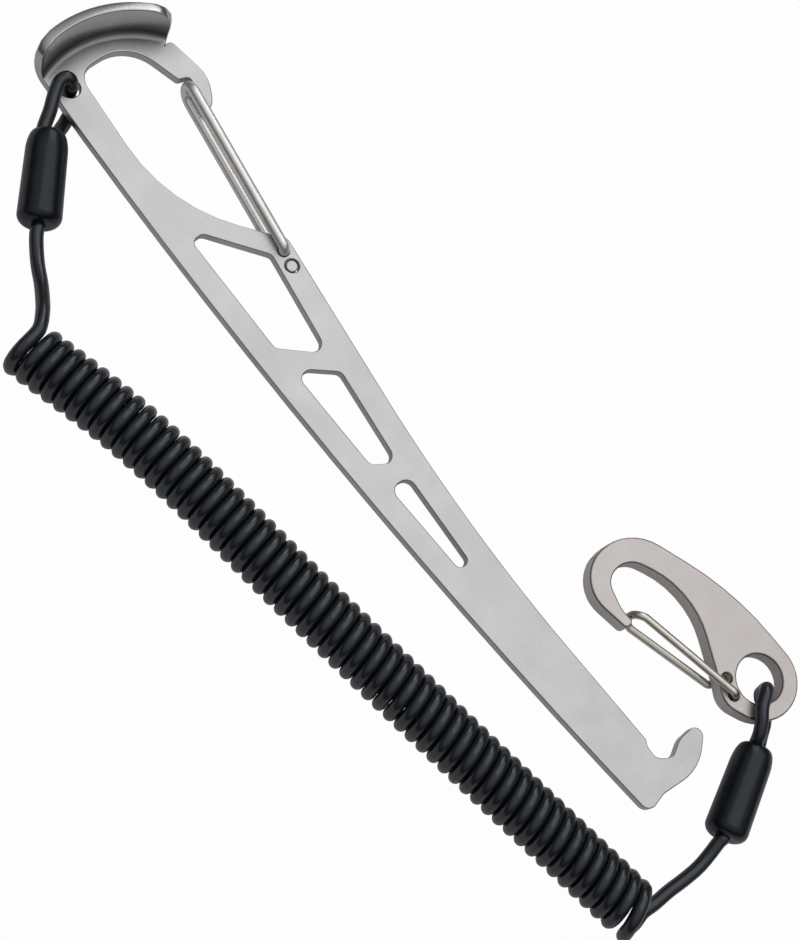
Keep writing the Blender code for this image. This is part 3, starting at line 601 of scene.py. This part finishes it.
middle, spread = (REAR_LEG + FRONT_LEG) / 2, (FRONT_LEG - REAR_LEG) / 2
hub = GATE_REACH - KEY_WIRE / 2 - spread
foot_end = on_gate(0, PLATE_BOTTOM + GAP)
hairpin = [foot_end] + bend(on_gate(0, FRONT_LEG), foot_end, on_gate(hub, FRONT_LEG),
                            FOOT_BEND * KEY_WIRE)
for k in range(2 * BEND_STEPS + 1):
    angle = math.pi * (0.5 - k / (2 * BEND_STEPS))
    hairpin.append(on_gate(hub + spread * math.cos(angle), middle + spread * math.sin(angle)))
hairpin.append(on_gate(-FOOT_STEP, REAR_LEG))
key_gate = gate_piece("key_gate_wire", hairpin, KEY_WIRE, wire, "key_gate", "key_gate")
head = [on_gate(-FOOT_STEP, PLATE_BOTTOM + GAP), on_gate(-FOOT_STEP, PLATE_TOP - HEAD_SINK)]
key_foot = gate_piece("key_gate_rear_end", head, FOOT_HEAD, steel, "key", "key_gate_rear_foot")
dome = key_foot.modifiers.new("dome", "BEVEL")
dome.limit_method = "ANGLE"
dome.width = HEAD_DOME
dome.segments = 5
print("key gate:", key_gate.name, key_foot.name)

# %% The gate of the clip
CLIP_EYE = Vector((0.0993, 0.0285, 0.0))
CLIP_TURN = Matrix.Rotation(math.radians(192.0), 3, "Z")
CLIP_WIRE = 0.0018
CLIP_FOOT = (0.0027, 0.0070)
CLIP_FRONT_LEG = (0.0284, 0.0071)
CLIP_TIP = (0.0310, 0.0078)
CLIP_REAR_LEG = (0.0287, 0.0083)
CLIP_REAR_CORNER = (0.0073, 0.0066)
CLIP_REAR_END = (0.0061, 0.0050)
REAR_END_SINK = 0.0025
CLIP_BOTTOM, CLIP_TOP = (corner.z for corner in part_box("clip_frame"))
LOW, HIGH = CLIP_BOTTOM - GAP - CLIP_WIRE / 2, CLIP_TOP + GAP + CLIP_WIRE / 2


def on_clip(spot, height):
    """Point over a spot of the clip's own drawing, placed about its eye."""
    return CLIP_EYE + CLIP_TURN @ Vector((*spot, 0.0)) + Vector((0, 0, height))


foot_end, foot_corner = on_clip(CLIP_FOOT, CLIP_BOTTOM + GAP), on_clip(CLIP_FOOT, HIGH)
front, tip_high = on_clip(CLIP_FRONT_LEG, HIGH), on_clip(CLIP_TIP, HIGH)
rear, tip_low = on_clip(CLIP_REAR_LEG, LOW), on_clip(CLIP_TIP, LOW)
rear_end, rear_corner = on_clip(CLIP_REAR_END, LOW), on_clip(CLIP_REAR_CORNER, LOW)
hairpin = [foot_end] + bend(foot_corner, foot_end, front, FOOT_BEND * CLIP_WIRE)
hairpin += bend(tip_high, front, tip_low, TIP_BEND * CLIP_WIRE)
hairpin += bend(tip_low, tip_high, rear, TIP_BEND * CLIP_WIRE)
hairpin += bend(rear_corner, rear, rear_end, REAR_BEND * CLIP_WIRE) + [rear_end]
clip_gate = gate_piece("clip_gate_wire", hairpin, CLIP_WIRE, clip_wire, "clip_gate", "clip_gate")
pin = [on_clip(CLIP_REAR_END, CLIP_BOTTOM + GAP),
       on_clip(CLIP_REAR_END, CLIP_TOP - REAR_END_SINK)]
clip_foot = gate_piece("clip_gate_rear_end", pin, CLIP_WIRE, clip_wire, "clip",
                       "clip_gate_rear_foot")
print("clip gate:", clip_gate.name, clip_foot.name)

# %% [markdown]
# ## The cord's length
# The cord's length is what the photograph shows, end to end. It leaves the key at its crimp.

# %% [markdown]
# ## Floor and light
# The photograph was cut out: its ground is pure white with hardly a shadow, and yet the walls of
# the metal are dark, so the real ground was a grey one. The floor is grey, and for the camera it
# is mixed with plain white, so that only a trace of the shadow stays. What the metal mirrors of
# the floor gets a little of that white too. The light is a large soft box above and beyond the
# key, in a room that gets darker towards the horizon: that draws the dark lines along the edges.
# A smaller lamp at the side draws the streaks on the curl and the bright crown of the flange.

# %% The floor
FLOOR_SIZE = 6.0
WHITE_SHARE = 0.98
MIRROR_SHARE = 0.15
bpy.context.scene.view_settings.view_transform = "Standard"
ground = bpy.data.meshes.new("floor")
half = FLOOR_SIZE / 2
ground.from_pydata([(-half, -half, 0), (half, -half, 0), (half, half, 0), (-half, half, 0)], [],
                   [(0, 1, 2, 3)])
floor = show("floor", ground)
paper = bpy.data.materials.new("grey_paper_ground")
paper.use_nodes = True
tree = paper.node_tree
tree.nodes.clear()
path = add(tree, "ShaderNodeLightPath").outputs
mirrored = add(tree, "ShaderNodeMath", {
    0: path["Is Glossy Ray"], 1: path["Is Transmission Ray"]}, operation="MAXIMUM").outputs[0]
mirrored = add(tree, "ShaderNodeMath", {0: mirrored, 1: MIRROR_SHARE},
               operation="MULTIPLY").outputs[0]
share = add(tree, "ShaderNodeMath", {0: path["Is Camera Ray"], 1: WHITE_SHARE},
            operation="MULTIPLY").outputs[0]
share = add(tree, "ShaderNodeMath", {0: share, 1: mirrored}, operation="MAXIMUM").outputs[0]
matt = add(tree, "ShaderNodeBsdfDiffuse", {"Color": colour("#C8C8C8")}).outputs["BSDF"]
white = add(tree, "ShaderNodeEmission", {"Color": colour("#FFFFFF")}).outputs["Emission"]
mixed = add(tree, "ShaderNodeMixShader", {0: share, 1: matt, 2: white}).outputs["Shader"]
add(tree, "ShaderNodeOutputMaterial", {"Surface": mixed})
ground.materials.append(paper)
print("floor:", floor.name, "in", paper.name)

# %% The room's light
# Levels of grey at heights of the sky, from the horizon to straight overhead.
SKY = [(0.0, 0.05), (0.35, 0.12), (0.70, 0.50), (1.0, 0.70)]
world = bpy.data.worlds.new("studio")
bpy.context.scene.world = world
world.use_nodes = True
tree = world.node_tree
tree.nodes.clear()
direction = add(tree, "ShaderNodeTexCoord").outputs["Generated"]
height = add(tree, "ShaderNodeSeparateXYZ", {"Vector": direction}).outputs["Z"]
ramp = add(tree, "ShaderNodeValToRGB", {"Fac": height})
stops = ramp.color_ramp.elements
while len(stops) < len(SKY):
    stops.new(0.5)
for stop, (at, level) in zip(stops, SKY):
    stop.position = at
    stop.color = (level, level, level, 1.0)
seen = add(tree, "ShaderNodeLightPath").outputs["Is Camera Ray"]
overhead = add(tree, "ShaderNodeMix", {0: seen, 6: ramp.outputs["Color"], 7: colour("#FFFFFF")},
               data_type="RGBA").outputs[2]
sky = add(tree, "ShaderNodeBackground", {"Color": overhead}).outputs["Background"]
add(tree, "ShaderNodeOutputWorld", {"Surface": sky})
print("sky levels:", [level for at, level in SKY])

# %% The lamps
LAMP_DISTANCE = 0.8


def lamp(name, toward, size, power):
    """A square lamp that looks at the object from one direction."""
    light = bpy.data.lights.new(name, "AREA")
    light.shape = "SQUARE"
    light.size = size
    light.energy = power
    toward = Vector(toward).normalized()
    made = show(name, light)
    made.matrix_world = (Matrix.Translation(LOOK_AT + toward * LAMP_DISTANCE)
                         @ toward.to_track_quat("Z", "Y").to_matrix().to_4x4())
    return made


soft_box = lamp("soft_box", toward=(-0.04, 0.42, 0.90), size=0.9, power=1.6)
side_lamp = lamp("side_lamp", toward=(-0.48, 0.70, 0.50), size=0.4, power=0.6)
print("lamps:", soft_box.name, side_lamp.name)
